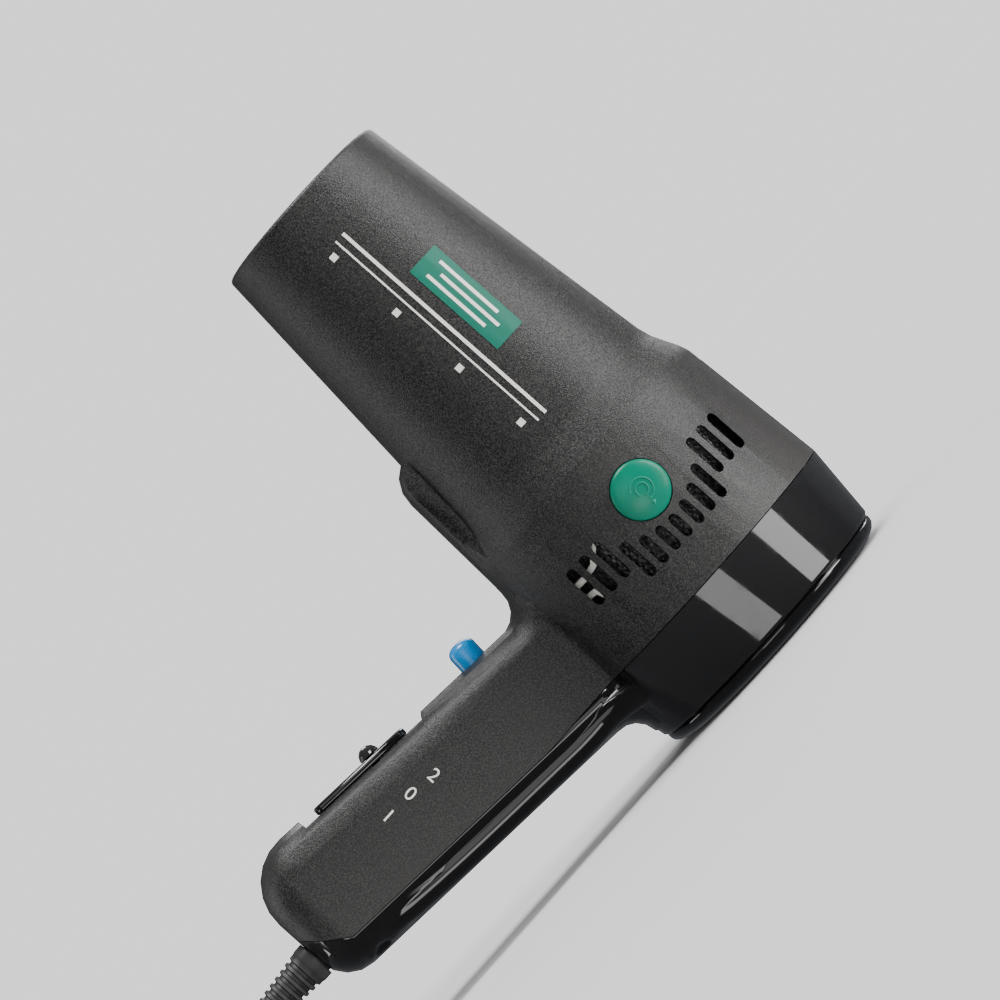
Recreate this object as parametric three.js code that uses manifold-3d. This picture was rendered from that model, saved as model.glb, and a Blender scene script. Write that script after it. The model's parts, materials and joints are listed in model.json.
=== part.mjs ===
// Hair dryer with a retractable cord, built as an assembly of separate pieces.
// Millimetres. The dryer stands on its flat rear face at z = 0, with the barrel's
// axis on Z and the nozzle up. The handle reaches out along -X, and the side with
// the cord button faces -Y.
import * as THREE from 'three';
import { mergeVertices } from 'three/addons/utils/BufferGeometryUtils.js';
import Module from 'manifold-3d';

const wasm = await Module();
wasm.setup();

// ---- barrel ----
const barrelLength = 200;
const nozzleRadius = 32.4;
const coneRearRadius = 42;
const shoulderHeight = 93.4;
const shoulderLength = 11.3;
const shoulderRadius = 46.8;
const bodyRadius = 50;
const jointHeight = 30.5;
const rearRadius = 46.6;
const plateThickness = 4.8;
const plateFlatRadius = 38.5;
const wall = 2.4;
const gap = 0.3;

// ---- handle ----
const handleReach = 169.5;
const handleDepth = 46;
const handleWidth = 37;
const handleLean = THREE.MathUtils.degToRad(5);
const handleAxisHeight = 36;
const handleJointDepth = 12.5;
const gripRounding = 10;
const gripSideRounding = 14;
const toeRadius = 17.5;
const toeRise = 1;
const filletRadius = 9;
const keelDrop = 5.5;
const keelLength = 42.5;
const railRadius = 4.6;
const railRise = 1.2;

// ---- air path and heater ----
const fanTipClearance = 0.6;
const fanBlades = 7;
const motorRadius = 13.8;
const motorLength = 27;
const ductWall = 1.5;
const ductClearance = 0.7;
const boardThickness = 0.8;
const boardReachLimit = 27.5;
const coilInset = 3.5;
const coilThickness = 2.2;
const coilCount = 4;
const ventPitch = 5.32;
const ventWidth = 3.2;
const ventsEachWay = 6;

// ---- cord, reel and buttons ----
const cordRadius = 2.75;
const spigotThickness = 1.6;
const reelClearance = 3.3;
const reelHubRadius = 17;
const windingInset = 5.5;
const axleRadius = 4;
const retractRadius = 9.3;
const retractHeight = 63.2;
const coolRadius = 4.65;
const coolPlace = 71.9;
const coolRise = 7.8;
const knobPlace = 115;
const knobThrow = 9.2;
const bezelLength = 37;
const bezelWidth = 14;
const recessDepth = 2.2;
const recessStart = 95.1;
const recessEnd = 144.4;
const screwRadius = 1.3;
const outletNeck = 5.2;
const outletLength = 22;

// ---- worked out from the dimensions above ----
const shoulderRear = shoulderHeight - shoulderLength;
const lean = Math.tan(handleLean);
const handleTop = handleDepth / 2;
const recessFloor = handleTop - recessDepth;
const endJointHeight = handleAxisHeight + handleReach * lean - 2.3;
const outletHeight = endJointHeight - 8;
const bulkheadHeight = jointHeight + 0.7;
const bulkheadThickness = 2;
const flangeHeight = retractHeight + retractRadius + 3.6;
const motorRear = flangeHeight + 14;
const heaterRear = motorRear + motorLength + 8;
const heaterFront = barrelLength - 14;
const grilleRear = barrelLength - 10.5;
const ductFront = shoulderHeight + 4.6;
const travelHalf = knobThrow + 2;
const reelFlangeRadius = rearRadius - wall - gap - spigotThickness - reelClearance;
const windingRadius = reelFlangeRadius - windingInset;

const lerp = THREE.MathUtils.lerp;

function shellRadius(z) {
  if (z < jointHeight) {
    return lerp(rearRadius, bodyRadius, (z - plateThickness) / (jointHeight - plateThickness));
  }
  if (z < shoulderRear) {
    return lerp(bodyRadius, shoulderRadius, (z - jointHeight) / (shoulderRear - jointHeight));
  }
  if (z < shoulderHeight) {
    return lerp(shoulderRadius, coneRearRadius, (z - shoulderRear) / shoulderLength);
  }
  return lerp(coneRearRadius, nozzleRadius, (z - shoulderHeight) / (barrelLength - shoulderHeight));
}

const innerRadius = (z) => shellRadius(z) - wall;
const ductRadius = innerRadius(ductFront) - ductWall - ductClearance;
const fanRadius = ductRadius - fanTipClearance;

// ---- materials ----
const plastic = (color, roughness) => new THREE.MeshStandardMaterial({ color, roughness, metalness: 0 });
const metal = (color, roughness) => new THREE.MeshStandardMaterial({ color, roughness, metalness: 1 });
const materials = {
  matteBlack: plastic(0x2b2a2b, 0.55),
  glossBlack: plastic(0x0b0b0c, 0.1),
  innerBlack: plastic(0x18181a, 0.6),
  teal: plastic(0x12a084, 0.2),
  blue: plastic(0x1b8fc6, 0.25),
  white: plastic(0xe9e7e0, 0.5),
  nylon: plastic(0xc9c4b5, 0.5),
  cordBlack: plastic(0x101011, 0.6),
  mica: plastic(0xb9a98a, 0.7),
  steel: metal(0xa8abb0, 0.35),
  brass: metal(0xb8924a, 0.3),
  nichrome: metal(0x8c8a86, 0.4),
};

// ---- solids ----
function volumeOf(position, index) {
  const [a, b, c] = [new THREE.Vector3(), new THREE.Vector3(), new THREE.Vector3()];
  let volume = 0;
  for (let i = 0; i < index.length; i += 3) {
    a.fromBufferAttribute(position, index[i]);
    b.fromBufferAttribute(position, index[i + 1]);
    c.fromBufferAttribute(position, index[i + 2]);
    volume += a.dot(b.cross(c));
  }
  return volume;
}

// A closed solid from a three.js geometry: seams welded, slivers left out, faces out.
function solid(geometry) {
  const bare = geometry.clone();
  bare.deleteAttribute('normal');
  bare.deleteAttribute('uv');
  const welded = mergeVertices(bare, 1e-4);
  const index = [];
  const source = welded.index.array;
  for (let i = 0; i < source.length; i += 3) {
    const [a, b, c] = [source[i], source[i + 1], source[i + 2]];
    if (a !== b && b !== c && c !== a) index.push(a, b, c);
  }
  const position = welded.attributes.position;
  if (volumeOf(position, index) < 0) index.reverse();
  return new wasm.Manifold(new wasm.Mesh({
    numProp: 3,
    vertProperties: new Float32Array(position.array),
    triVerts: new Uint32Array(index),
  }));
}

function geometryOf(body) {
  const mesh = body.getMesh();
  const geometry = new THREE.BufferGeometry();
  geometry.setAttribute('position', new THREE.BufferAttribute(mesh.vertProperties, mesh.numProp));
  geometry.setIndex(new THREE.BufferAttribute(mesh.triVerts, 1));
  return geometry;
}

const join = (first, ...others) => others.reduce((whole, body) => whole.add(body), first);
const cut = (whole, ...tools) => tools.reduce((rest, tool) => rest.subtract(tool), whole);

// ---- shapes ----
function block(x0, x1, y0, y1, z0, z1) {
  const box = new THREE.BoxGeometry(x1 - x0, y1 - y0, z1 - z0);
  return box.translate((x0 + x1) / 2, (y0 + y1) / 2, (z0 + z1) / 2);
}

function disc(radius, z0, z1, segments = 28) {
  const cylinder = new THREE.CylinderGeometry(radius, radius, z1 - z0, segments);
  return cylinder.rotateX(Math.PI / 2).translate(0, 0, (z0 + z1) / 2);
}

function discAt(x, y, radius, z0, z1, segments = 12) {
  return disc(radius, z0, z1, segments).translate(x, y, 0);
}

// Turned about Z, from a closed list of [radius, height].
function turned(profile, segments = 32) {
  const points = [...profile, profile[0]].map(([r, z]) => new THREE.Vector2(r, z));
  return new THREE.LatheGeometry(points, segments).rotateX(Math.PI / 2);
}

function ring(inner, outer, z0, z1, segments) {
  return turned([[inner, z0], [outer, z0], [outer, z1], [inner, z1]], segments);
}

const alongX = (geometry) => geometry.rotateY(Math.PI / 2);
const alongY = (geometry) => geometry.rotateX(-Math.PI / 2);

function arc(cx, cy, radius, fromDegrees, toDegrees, steps) {
  const points = [];
  for (let i = 0; i <= steps; i++) {
    const angle = THREE.MathUtils.degToRad(lerp(fromDegrees, toDegrees, i / steps));
    points.push([cx + radius * Math.cos(angle), cy + radius * Math.sin(angle)]);
  }
  return points;
}

const outlineShape = (outline) => new THREE.Shape(outline.map(([a, b]) => new THREE.Vector2(a, b)));

const facingY = new THREE.Matrix4().makeBasis(
  new THREE.Vector3(1, 0, 0), new THREE.Vector3(0, 0, 1), new THREE.Vector3(0, -1, 0));
const facingX = new THREE.Matrix4().makeBasis(
  new THREE.Vector3(0, 1, 0), new THREE.Vector3(0, 0, 1), new THREE.Vector3(1, 0, 0));

// An outline of [x, z] points run from y0 to y1.
function prismY(outline, y0, y1) {
  const prism = new THREE.ExtrudeGeometry(outlineShape(outline), { depth: y1 - y0, bevelEnabled: false });
  return prism.applyMatrix4(facingY).translate(0, y1, 0);
}

// An outline of [y, z] points run from x0 to x1.
function prismX(outline, x0, x1) {
  const prism = new THREE.ExtrudeGeometry(outlineShape(outline), { depth: x1 - x0, bevelEnabled: false });
  return prism.applyMatrix4(facingX).translate(x0, 0, 0);
}

// An outline of [x, y] points run from z0 to z1.
function prismZ(outline, z0, z1) {
  const prism = new THREE.ExtrudeGeometry(outlineShape(outline), { depth: z1 - z0, bevelEnabled: false });
  return prism.translate(0, 0, z0);
}

function tubeAlong(curve, radius, sides, steps) {
  const section = outlineShape(arc(0, 0, radius, 0, 360 - 360 / sides, sides - 1));
  return new THREE.ExtrudeGeometry(section, { steps, extrudePath: curve, bevelEnabled: false });
}

function cable(points, radius, sides = 8) {
  const curve = new THREE.CatmullRomCurve3(points.map((p) => new THREE.Vector3(...p)), false, 'centripetal');
  const steps = Math.max(8, Math.round(curve.getLength() / (5 * radius)));
  return tubeAlong(curve, radius, sides, steps);
}

class Helix extends THREE.Curve {
  constructor(radius, height, turns) {
    super();
    Object.assign(this, { radius, height, turns });
  }

  getPoint(t) {
    const angle = 2 * Math.PI * this.turns * t;
    return new THREE.Vector3(this.radius * Math.cos(angle), this.radius * Math.sin(angle), this.height * t);
  }
}

// A compression spring standing on z0.
function spring(radius, wire, z0, z1, turns) {
  const helix = new Helix(radius, z1 - z0 - 2 * wire, turns);
  return tubeAlong(helix, wire, 4, turns * 10).translate(0, 0, z0 + wire);
}

// ---- assembly ----
const dryer = new THREE.Group();
dryer.name = 'hair_dryer';
const handle = new THREE.Group();
handle.position.z = handleAxisHeight;
handle.rotation.y = handleLean;
dryer.add(handle);
handle.updateMatrix();

// Moves what is drawn along the handle, with x towards the barrel and z to the front, into place.
const onHandle = (geometry) => geometry.applyMatrix4(handle.matrix);

function handlePoint(u, y, w) {
  const point = new THREE.Vector3(-u, y, w).applyMatrix4(handle.matrix);
  return [point.x, point.y, point.z];
}

function addPiece(name, body, material, parent = dryer) {
  const mesh = new THREE.Mesh(geometryOf(body), material);
  mesh.name = name;
  parent.add(mesh);
  return mesh;
}

// ---- the handle's outer form ----
const frontLine = (x) => handleAxisHeight - x * lean + handleTop / Math.cos(handleLean);
const backLine = (x) => handleAxisHeight - x * lean - handleTop / Math.cos(handleLean);
const heelRadius = gripRounding + 2;
const noseRadius = gripRounding + 2;
const keelTop = shoulderHeight + keelLength - 24;
const keelBottom = coneRearRadius + keelDrop;
const notchFace = shellRadius(plateThickness + 4) + 0.1;

function gripOutline() {
  const inside = -22;
  const nose = arc(-keelBottom + noseRadius + 1.5, keelTop, noseRadius, 90, 180, 4);
  const crook = keelBottom + filletRadius;
  const crookHeight = frontLine(-crook) + filletRadius;
  const toe = arc(-handleReach + toeRadius, frontLine(toeRadius - handleReach) + toeRise - toeRadius,
    toeRadius, 84, 180, 6);
  const heel = arc(-handleReach + heelRadius, backLine(heelRadius - handleReach) + heelRadius,
    heelRadius, 180, 265, 4);
  const notch = notchFace + filletRadius;
  return [
    [inside, keelTop + noseRadius],
    ...nose,
    ...arc(-crook, crookHeight, filletRadius, 0, -85, 4),
    [-recessStart, frontLine(-recessStart)],
    ...toe,
    ...heel,
    ...arc(-notch, backLine(-notch) - filletRadius, filletRadius, 90, 0, 4),
    [inside, backLine(-notch) - filletRadius],
  ];
}

// Half the grip's width falls away along the keel, towards the nozzle.
function keelSides(inset) {
  const half = [
    [handleWidth / 2 + 1, -5],
    [handleWidth / 2 + 1, jointHeight + 31],
    [16, shoulderRear - 8],
    [14.5, shoulderRear + 1],
    [11.5, shoulderHeight - 1.4],
    [10.5, keelTop + noseRadius + 1],
  ].map(([y, z]) => [y - inset, z]);
  const mirrored = half.map(([y, z]) => [-y, z]).reverse();
  return prismX([...half, ...mirrored], -handleReach - 20, 10);
}

function grip(inset) {
  const straight = handleWidth - 2 * gripSideRounding;
  const shape = new THREE.ExtrudeGeometry(outlineShape(gripOutline()), {
    depth: straight,
    bevelThickness: gripSideRounding - inset,
    bevelSize: gripRounding - inset,
    bevelOffset: -gripRounding,
    bevelSegments: 3,
  });
  const body = solid(shape.applyMatrix4(facingY).translate(0, straight / 2, 0));
  return body.intersect(solid(keelSides(inset)));
}

function barrelOuter() {
  const edge = 1.5;
  const lip = arc(nozzleRadius - edge, barrelLength - edge, edge, 10, 90, 3);
  return solid(turned([
    [0, plateThickness + gap],
    [rearRadius - 1, plateThickness + gap],
    [rearRadius, plateThickness + gap + 1.2],
    [bodyRadius, jointHeight],
    [shoulderRadius + 0.4, shoulderRear - 2],
    [shoulderRadius - 0.5, shoulderRear + 1.2],
    [coneRearRadius + 0.7, shoulderHeight - 1.6],
    [shellRadius(shoulderHeight + 3), shoulderHeight + 3],
    ...lip,
    [0, barrelLength],
  ], 44));
}

function barrelInner() {
  const levels = [plateThickness + gap, jointHeight, shoulderRear - 2, shoulderHeight, barrelLength];
  const wallLine = levels.map((z) => [innerRadius(z), z]);
  const [bottom, top] = [wallLine[0], wallLine[wallLine.length - 1]];
  return solid(turned([
    [0, bottom[1] - 1], [bottom[0], bottom[1] - 1], ...wallLine, [top[0], top[1] + 1], [0, top[1] + 1],
  ], 44));
}

// The finger rail on each side of the glossy back, which ends in a ball on the barrel.
function rail(side) {
  const inward = railRadius - railRise;
  const onSide = handleWidth / 2 - 1.7 - inward;
  const depth = handleJointDepth + railRadius + 0.7;
  const ballHeight = jointHeight - 9.5;
  const ballTrack = shellRadius(ballHeight) - inward;
  const ballAngle = THREE.MathUtils.degToRad(152);
  const route = [
    handlePoint(handleReach - 9, side * (onSide - 6), -depth + 4.6),
    handlePoint(handleReach - 22, side * (onSide - 1.6), -depth + 1.4),
    handlePoint(120, side * onSide, -depth),
    handlePoint(78, side * onSide, -depth),
    handlePoint(64, side * (onSide + 0.2), -depth + 0.2),
    [-bodyRadius - 3, side * (onSide + 2.2), jointHeight - 6.5],
    [ballTrack * Math.cos(ballAngle), side * ballTrack * Math.sin(ballAngle), ballHeight],
  ];
  const curve = new THREE.CatmullRomCurve3(route.map((p) => new THREE.Vector3(...p)), false, 'centripetal');
  const ball = new THREE.SphereGeometry(railRadius, 16, 12).translate(...route[route.length - 1]);
  return join(solid(tubeAlong(curve, railRadius, 18, 26)), solid(ball));
}

function recess() {
  const floor = recessFloor;
  const top = handleTop + 8;
  const slope = recessDepth * 0.6;
  const outline = [
    [-recessStart + slope, top], [-recessStart + slope, handleTop + 0.5], [-recessStart, floor],
    [-recessEnd, floor], [-recessEnd - 0.6, handleTop + 1], [-recessEnd - 0.6, top],
  ];
  return solid(onHandle(prismY(outline, -handleWidth, handleWidth)));
}

// ---- where the matte front meets the glossy back ----
function jointLine(shift) {
  const far = bodyRadius + 20;
  const [kneeX, , kneeZ] = handlePoint(75, 0, -handleJointDepth);
  const [ankleX, , ankleZ] = handlePoint(handleReach - 13, 0, -handleJointDepth);
  return [
    [far, jointHeight], [-bodyRadius, jointHeight - 0.3], [kneeX, kneeZ], [ankleX, ankleZ],
    [-handleReach + 5.6, endJointHeight - 5.7], [-handleReach - 1, endJointHeight + 1],
    [-handleReach - 12, endJointHeight + 12],
  ].map(([x, z]) => [x, z + shift]);
}

function frontSide() {
  const line = jointLine(gap / 2);
  return solid(prismY([...line, [-handleReach - 12, barrelLength + 5], [bodyRadius + 20, barrelLength + 5]],
    -bodyRadius - 9, bodyRadius + 9));
}

function rearSide() {
  const line = jointLine(-gap / 2);
  return solid(prismY([...line, [-handleReach - 12, -5], [bodyRadius + 20, -5]],
    -bodyRadius - 9, bodyRadius + 9));
}

// ---- handle screws and the bosses that they join ----
const screwSpots = [];
const screwSide = handleWidth / 2 - 8;
for (const u of [80, handleReach - 17.5]) {
  for (const y of [-screwSide, screwSide]) screwSpots.push([u, y]);
}
const screwSeat = -handleTop + 5.4;
const screwHead = 2.9;

const onSpots = (make) => screwSpots.map(([u, y]) => solid(onHandle(make(-u, y))));

function outletHole() {
  const hole = disc(outletNeck + gap, 0, 12, 32);
  return solid(alongX(hole).translate(-handleReach - 4, 0, outletHeight));
}

// ---- shells ----
const gripBody = grip(0);
const shellOuter = cut(join(barrelOuter(), gripBody, rail(-1), rail(1)), recess());
const coneKept = barrelOuter().intersect(solid(disc(bodyRadius + 5, shoulderRear - 14, barrelLength)));
const recessBacking = solid(onHandle(block(-recessEnd - 3, -recessStart + 3,
  -handleWidth, handleWidth, recessFloor - wall, handleTop + 9)));
const keelKept = solid(block(-bodyRadius - 20, 0, -handleWidth, handleWidth, shoulderRear - 8, barrelLength));
const gripCavity = cut(grip(wall), coneKept, keelKept, recessBacking);
const shellInner = join(barrelInner(), gripCavity);

const bulkheadBossAngle = THREE.MathUtils.degToRad(20);
const bulkheadBossRadius = innerRadius(bulkheadHeight + 10) - 3.6;
const bulkheadSpots = [-1, 1].map((side) => [
  bulkheadBossRadius * Math.cos(bulkheadBossAngle), side * bulkheadBossRadius * Math.sin(bulkheadBossAngle),
]);

function vents(side) {
  const slots = [];
  for (let i = -ventsEachWay; i <= ventsEachWay; i++) {
    const outer = Math.abs(i) > 3;
    const bottom = outer ? jointHeight + 18 : jointHeight + 12.4;
    const top = outer ? jointHeight + 32.6 : jointHeight + 21.3 + 5.1 * (i / 3) ** 2;
    const half = ventWidth / 2;
    const outline = [
      ...arc(i * ventPitch, top - half, half, 0, 180, 4),
      ...arc(i * ventPitch, bottom + half, half, 180, 360, 4),
    ];
    const near = bodyRadius * 0.55;
    const far = bodyRadius + 5;
    slots.push(solid(side < 0 ? prismY(outline, -far, -near) : prismY(outline, near, far)));
  }
  return join(...slots);
}

function frontHousing() {
  const bosses = onSpots((x, y) => discAt(x, y, 3.4, -handleJointDepth - 2, handleTop - wall / 2));
  const bulkheadBosses = bulkheadSpots.map(([x, y]) => solid(discAt(x, y, 4.2,
    bulkheadHeight + bulkheadThickness + gap, flangeHeight - 8)));
  const shell = join(cut(shellOuter, shellInner), ...bosses, ...bulkheadBosses)
    .intersect(frontSide()).intersect(shellOuter);
  const pilots = onSpots((x, y) => discAt(x, y, screwRadius + gap, -handleJointDepth - 4, -1));
  const bulkheadPilots = bulkheadSpots.map(([x, y]) => solid(discAt(x, y, screwRadius + gap,
    bulkheadHeight, bulkheadHeight + 14)));
  const retractHole = solid(alongY(disc(retractRadius + gap, -bodyRadius - 5, -bodyRadius * 0.7, 40))
    .translate(0, 0, retractHeight));
  const coolHole = solid(onHandle(discAt(-coolPlace, 0, coolRadius + gap, 0, handleTop + 10, 28)));
  const switchHole = solid(onHandle(block(-knobPlace - knobThrow - 9, -knobPlace + travelHalf,
    -5.4, 5.4, 0, handleTop + 5)));
  return cut(shell, vents(-1), vents(1), retractHole, coolHole, switchHole, outletHole(),
    ...pilots, ...bulkheadPilots);
}

function rearHousing() {
  const bosses = onSpots((x, y) => discAt(x, y, 5, -handleTop, -handleJointDepth + 3));
  const shell = join(cut(shellOuter, shellInner), ...bosses).intersect(rearSide()).intersect(shellOuter);
  const pilots = onSpots((x, y) => discAt(x, y, screwRadius + gap, -handleTop - 5, 0));
  const heads = onSpots((x, y) => discAt(x, y, screwHead + gap, -handleTop - 5, screwSeat, 16));
  return cut(shell, outletHole(), ...pilots, ...heads);
}

addPiece('front_housing', frontHousing(), materials.matteBlack);
addPiece('rear_housing', rearHousing(), materials.glossBlack);

// ---- rear plate, with the reel's axle ----
const reelRear = plateThickness + 2.8;
const reelFront = jointHeight - 4.6;
const flangeThickness = 1.5;

function rearPlate() {
  const edge = [];
  const steps = 5;
  for (let i = 0; i <= steps; i++) {
    const angle = i / steps * Math.PI / 2;
    const reach = rearRadius - 0.7 - plateFlatRadius;
    edge.push([plateFlatRadius + reach * Math.sin(angle), (plateThickness - 1) * (1 - Math.cos(angle))]);
  }
  const spigot = rearRadius - wall - gap;
  return solid(turned([
    [0, 0], ...edge, [rearRadius - 0.7, plateThickness],
    [spigot, plateThickness], [spigot, plateThickness + 3.4],
    [spigot - spigotThickness, plateThickness + 3.4],
    [spigot - spigotThickness, plateThickness - 1.8], [axleRadius, plateThickness - 1.8],
    [axleRadius, bulkheadHeight + 1.2], [0, bulkheadHeight + 1.2],
  ], 44));
}
addPiece('rear_plate', rearPlate(), materials.glossBlack);

// ---- cord reel ----
const springCavityRadius = reelHubRadius - 2;
const hubFloor = lerp(reelRear, reelFront, 0.68);

function cordReel() {
  const bore = axleRadius + gap;
  const frontFlange = reelFront - flangeThickness;
  return solid(turned([
    [springCavityRadius, reelRear], [reelFlangeRadius, reelRear],
    [reelFlangeRadius, reelRear + flangeThickness], [reelHubRadius, reelRear + flangeThickness],
    [reelHubRadius, frontFlange], [reelFlangeRadius, frontFlange],
    [reelFlangeRadius, reelFront], [bore, reelFront], [bore, hubFloor], [springCavityRadius, hubFloor],
  ]));
}
addPiece('cord_reel', cordReel(), materials.innerBlack);
addPiece('reel_winding', solid(ring(reelHubRadius + gap, windingRadius,
  reelRear + flangeThickness + gap, reelFront - flangeThickness - gap, 32)), materials.cordBlack);

// The flat spring winds out from the axle to the wall of the hub.
function clockSpring() {
  const turns = 4;
  const perTurn = 12;
  const strip = 0.6;
  const [start, end] = [axleRadius + 1, springCavityRadius - 0.6 - strip];
  const inner = [];
  const outer = [];
  for (let i = 0; i <= turns * perTurn; i++) {
    const angle = 2 * Math.PI * i / perTurn;
    const radius = lerp(start, end, i / (turns * perTurn));
    inner.push([radius * Math.cos(angle), radius * Math.sin(angle)]);
    outer.push([(radius + strip) * Math.cos(angle), (radius + strip) * Math.sin(angle)]);
  }
  return solid(prismZ([...inner, ...outer.reverse()], reelRear + 1, hubFloor - 1));
}
addPiece('reel_spring', clockSpring(), materials.steel);

const slipRingTop = reelFront + gap + 0.6;
addPiece('slip_ring_inner', solid(ring(8, 11, reelFront + gap, slipRingTop, 24)), materials.brass);
addPiece('slip_ring_outer', solid(ring(14, 17, reelFront + gap, slipRingTop, 24)), materials.brass);

// ---- contacts under the bulkhead ----
const contactTop = bulkheadHeight - gap;
const contactBottom = contactTop - 2;
addPiece('contact_block', solid(block(-5, 5, 6.2, 19, contactBottom, contactTop)), materials.mica);
for (const [name, y] of [['brush_inner', 9.5], ['brush_outer', 15.5]]) {
  addPiece(name, solid(discAt(0, y, 1.2, slipRingTop + gap, contactBottom - gap, 12)), materials.brass);
}

// ---- bulkhead, which closes off the reel and carries the brake ----
const pivot = { y: -30, z: bulkheadHeight + 12.8 };
const guide = { y0: -36, y1: -34.4 };
const leverThickness = 4;
const cheekInner = leverThickness / 2 + gap;
const cheekOuter = cheekInner + 2;
const pinRadius = 1.3;

const lyingAlongX = (radius, x0, x1, y, z) => alongX(disc(radius, x0, x1, 12)).translate(0, y, z);

function bulkhead() {
  const top = bulkheadHeight + bulkheadThickness;
  const plate = solid(disc(innerRadius(bulkheadHeight + 1) - gap, bulkheadHeight, top, 44));
  const cheek = (x0, x1) => solid(block(x0, x1, pivot.y - 4, pivot.y + 4, top - 1, pivot.z + 4));
  const post = (x0, x1) => solid(block(x0, x1, guide.y0, guide.y1, top - 1, retractHeight + 6));
  const guidePlate = solid(block(-8, 8, guide.y0, guide.y1, retractHeight - 7, retractHeight + 6));
  const plungerHole = solid(
    alongY(disc(2.2 + gap, guide.y0 - 1, guide.y1 + 1, 14)).translate(0, 0, retractHeight));
  const leverSlot = solid(block(-3, 3, -42.6, -33.4, bulkheadHeight - 1, top + 1));
  const pinHole = solid(lyingAlongX(pinRadius + gap, -cheekOuter - 1, cheekOuter + 1, pivot.y, pivot.z));
  const axleHole = solid(disc(axleRadius + gap, bulkheadHeight - 1, top + 1, 18));
  const wireWay = solid(block(-bodyRadius, -bodyRadius + 12, -6, 6, bulkheadHeight - 1, top + 1));
  const screwHoles = bulkheadSpots.map(([x, y]) => solid(discAt(x, y, screwRadius + gap,
    bulkheadHeight - 1, top + 1)));
  const raised = join(plate, cheek(-cheekOuter, -cheekInner), cheek(cheekInner, cheekOuter),
    post(-8, -5), post(5, 8), guidePlate);
  return cut(raised, plungerHole, leverSlot, pinHole, axleHole, wireWay, ...screwHoles);
}
addPiece('bulkhead', bulkhead(), materials.innerBlack);

function screw(x, y, seat, direction, length) {
  const head = discAt(x, y, screwHead, Math.min(seat, seat - direction * 1.6),
    Math.max(seat, seat - direction * 1.6), 14);
  const shank = discAt(x, y, screwRadius, Math.min(seat - direction * 0.1, seat + direction * length),
    Math.max(seat - direction * 0.1, seat + direction * length), 10);
  return join(solid(head), solid(shank));
}

bulkheadSpots.forEach(([x, y], i) => {
  addPiece(`bulkhead_screw_${i + 1}`, screw(x, y, bulkheadHeight - gap, 1, 11), materials.steel);
});
screwSpots.forEach(([u, y], i) => {
  addPiece(`handle_screw_${i + 1}`, screw(-u, y, screwSeat - gap, 1, 16), materials.steel, handle);
});

// ---- brake lever: the button swings its upper arm in, and its shoe leaves the reel ----
function brakeLever() {
  const shoe = -reelFlangeRadius - 0.35;
  const outline = [
    [pivot.y - 0.3, retractHeight + 3], [pivot.y + 2.4, retractHeight + 3], [pivot.y + 3.2, pivot.z],
    [pivot.y - 1.5, pivot.z - 4.5], [-33.8, bulkheadHeight + 1], [shoe, bulkheadHeight - 3],
    [shoe, reelFront - 3.4], [shoe - 2.2, reelFront - 3.4], [shoe - 2.2, bulkheadHeight - 3],
    [-37.6, bulkheadHeight + 3], [pivot.y - 3, pivot.z + 1],
    [pivot.y - 0.3, retractHeight - 4],
  ];
  const arm = solid(prismX(outline, -leverThickness / 2, leverThickness / 2));
  return cut(arm, solid(lyingAlongX(pinRadius + gap, -5, 5, pivot.y, pivot.z)));
}
addPiece('brake_lever', brakeLever(), materials.nylon);
addPiece('brake_pin', solid(lyingAlongX(pinRadius, -cheekOuter, cheekOuter, pivot.y, pivot.z)),
  materials.steel);

// ---- cord button, turned about Y ----
const retractFlange = retractRadius + 1.9;
const retractWall = Math.min(innerRadius(retractHeight + retractFlange),
  Math.sqrt(innerRadius(retractHeight) ** 2 - retractFlange ** 2));

function retractButton() {
  const face = shellRadius(retractHeight) + 1.2;
  const flange = retractWall - gap - 0.3;
  const rod = 2.2;
  const profile = [
    [0, face + 1.6], [retractRadius * 0.5, face + 1.25], [retractRadius * 0.85, face + 0.4],
    [retractRadius, face - 0.8], [retractRadius, flange], [retractFlange, flange],
    [retractFlange, flange - 1.5], [rod, flange - 1.5],
    [rod, -pivot.y + 0.65], [0, -pivot.y + 0.65],
  ];
  return solid(alongY(turned(profile.map(([r, z]) => [r, -z]), 32)).translate(0, 0, retractHeight));
}
addPiece('retract_button', retractButton(), materials.teal);
addPiece('retract_spring', solid(alongY(spring(4, 0.35, -retractWall + gap + 1.5 + 0.6,
  guide.y0 - gap, 3)).translate(0, 0, retractHeight)), materials.steel);

// ---- lint screens behind the slots ----
const screenReach = ventPitch * ventsEachWay + 5;

function lintScreen(side) {
  const outer = innerRadius(flangeHeight) - 3.3;
  const [bottom, top] = [bulkheadHeight + bulkheadThickness + gap, flangeHeight - gap];
  const shell = solid(ring(outer - 0.8, outer, bottom, top, 48));
  const reach = bodyRadius + 5;
  const half = screenReach;
  const sector = solid(block(-half, half,
    Math.min(side * 12, side * reach), Math.max(side * 12, side * reach),
    bottom - 1, top + 1));
  const buttonWay = solid(alongY(disc(retractRadius + 3.2, -reach, 0, 28)).translate(0, 0, retractHeight));
  return cut(shell.intersect(sector), buttonWay);
}
addPiece('lint_screen_left', lintScreen(-1), materials.innerBlack);
addPiece('lint_screen_right', lintScreen(1), materials.innerBlack);

// ---- fan, motor and the duct that holds them ----
const vaneInner = motorRadius + gap;

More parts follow.
